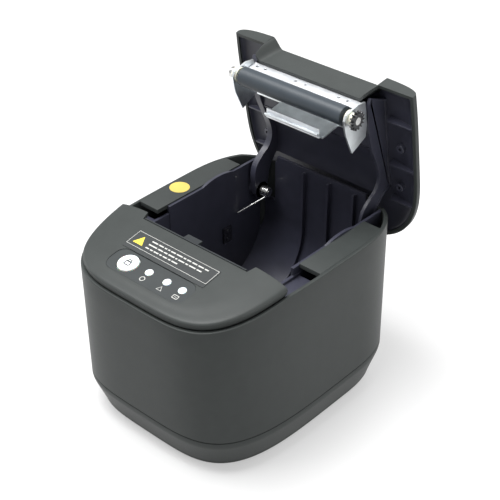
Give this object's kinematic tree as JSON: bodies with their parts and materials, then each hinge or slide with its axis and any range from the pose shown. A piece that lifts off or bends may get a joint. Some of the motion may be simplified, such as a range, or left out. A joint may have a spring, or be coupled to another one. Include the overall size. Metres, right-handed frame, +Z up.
{
  "type": "receipt printer",
  "caption": "Desktop thermal receipt printer with its lid open, showing the platen roller and the round bay for a paper roll.",
  "frame": {"origin": "centre of the footprint, on the surface that the rubber feet stand on", "axes": "+X to the right as seen from the front, +Y to the rear, +Z up"},
  "size_m": [0.1518, 0.2019, 0.2075],
  "materials": {
    "case_plastic": "satin moulded ABS with a fine spark texture",
    "foot_rubber": "matt",
    "plated_steel": "zinc plated sheet",
    "trim_plastic": "satin",
    "panel_plastic": "satin",
    "white_plastic": "translucent white, semi-gloss",
    "board": "solder-masked circuit board",
    "label": null,
    "gold_sticker": "blank metallic film",
    "liner_plastic": "satin black with a blue cast",
    "sensor_plastic": "smooth",
    "bright_steel": "polished wire and pins",
    "ceramic": "glazed ceramic head",
    "aluminium": "extruded",
    "motor_can": "plated can",
    "brass": "machined",
    "gear_plastic": "natural acetal",
    "blade_steel": "ground",
    "port_plastic": "moulded",
    "port_shell": "tinned shell",
    "rocker_plastic": "smooth",
    "strip_steel": "bright ground strip",
    "bush_plastic": "natural acetal",
    "platen_rubber": "ground rubber",
    "black_gear": "acetal"
  },
  "bodies": {
    "case": {"base_tray": "case_plastic", "rubber_feet": "foot_rubber", "base_screws": "plated_steel", "main_housing": "case_plastic", "front_cover": "case_plastic", "exit_trim": "trim_plastic", "control_panel": "panel_plastic", "light_pipes": "white_plastic", "panel_board": "board", "front_label": "label", "blank_sticker": "gold_sticker", "paper_bay": "liner_plastic", "paper_sensor": "sensor_plastic", "hinge_pins": "bright_steel", "lid_spring": "bright_steel", "mechanism_frame": "plated_steel", "paper_guide": "liner_plastic", "head_springs": "bright_steel", "feed_motor": "motor_can", "idler_axle": "bright_steel", "cutter_frame": "plated_steel", "cutter_motor": "motor_can", "main_board": "board", "rear_panel": "liner_plastic", "power_inlet": "port_plastic", "usb_port": "port_shell", "network_port": "port_shell", "drawer_port": "port_plastic", "rocker_frame": "port_plastic"},
    "lid": {"lid_cover": "case_plastic", "lid_liner": "liner_plastic", "platen_bracket": "plated_steel", "guide_strip": "strip_steel", "strip_screws": "plated_steel", "platen_bushes": "bush_plastic"},
    "platen": {"platen_shaft": "bright_steel", "platen_rubber": "platen_rubber", "platen_gear": "black_gear"},
    "idler": {"idler_gear": "gear_plastic"},
    "motor_pinion": {"motor_pinion": "brass"},
    "cutter": {"cutter_blade": "blade_steel"},
    "cutter_pinion": {"cutter_pinion": "brass"},
    "print_head": {"thermal_head": "ceramic", "head_heat_sink": "aluminium"},
    "feed_button": {"feed_button": "white_plastic"},
    "power_rocker": {"power_rocker": "rocker_plastic"}
  },
  "joints": [
    {"name": "lid_hinge", "type": "hinge", "parent": "case", "child": "lid", "pos_m": [0, 0.0735, 0.0963], "axis": [1, 0, 0], "range_deg": [0, 80]},
    {"name": "platen_spin", "type": "hinge", "parent": "lid", "child": "platen", "pos_m": [0, 0.05117, 0.19299], "axis": [1, 0, 0], "continuous": true},
    {"name": "idler_spin", "type": "hinge", "parent": "case", "child": "idler", "pos_m": [0.05, -0.04, 0.08], "axis": [1, 0, 0], "continuous": true},
    {"name": "pinion_spin", "type": "hinge", "parent": "case", "child": "motor_pinion", "pos_m": [0.05, -0.049, 0.06775], "axis": [1, 0, 0], "continuous": true},
    {"name": "cutter_slide", "type": "slide", "parent": "case", "child": "cutter", "axis": [0, 1, 0], "range_m": [0, 0.0095]},
    {"name": "cutter_pinion_spin", "type": "hinge", "parent": "case", "child": "cutter_pinion", "pos_m": [0.024, -0.057, 0.102], "axis": [0, 0, 1], "range_deg": [-92, 0.5]},
    {"name": "head_float", "type": "slide", "parent": "case", "child": "print_head", "axis": [0, -1, 0], "range_m": [0, 0.001], "stiffness_N_per_m": 4000, "springref_m": -0.002},
    {"name": "feed_press", "type": "slide", "parent": "case", "child": "feed_button", "axis": [0, 0.1819, -0.9833], "range_m": [0, 0.0012], "stiffness_N_per_m": 600, "springref_m": -0.001},
    {"name": "power_rock", "type": "hinge", "parent": "case", "child": "power_rocker", "pos_m": [0.0375, 0.074, 0.025], "axis": [1, 0, 0], "range_deg": [0, 16]}
  ],
  "couplings": [
    {"joint": "pinion_spin", "follows": "idler_spin", "ratio": -2.1667},
    {"joint": "cutter_pinion_spin", "follows": "cutter_slide", "rad_per_m": -166.67}
  ]
}
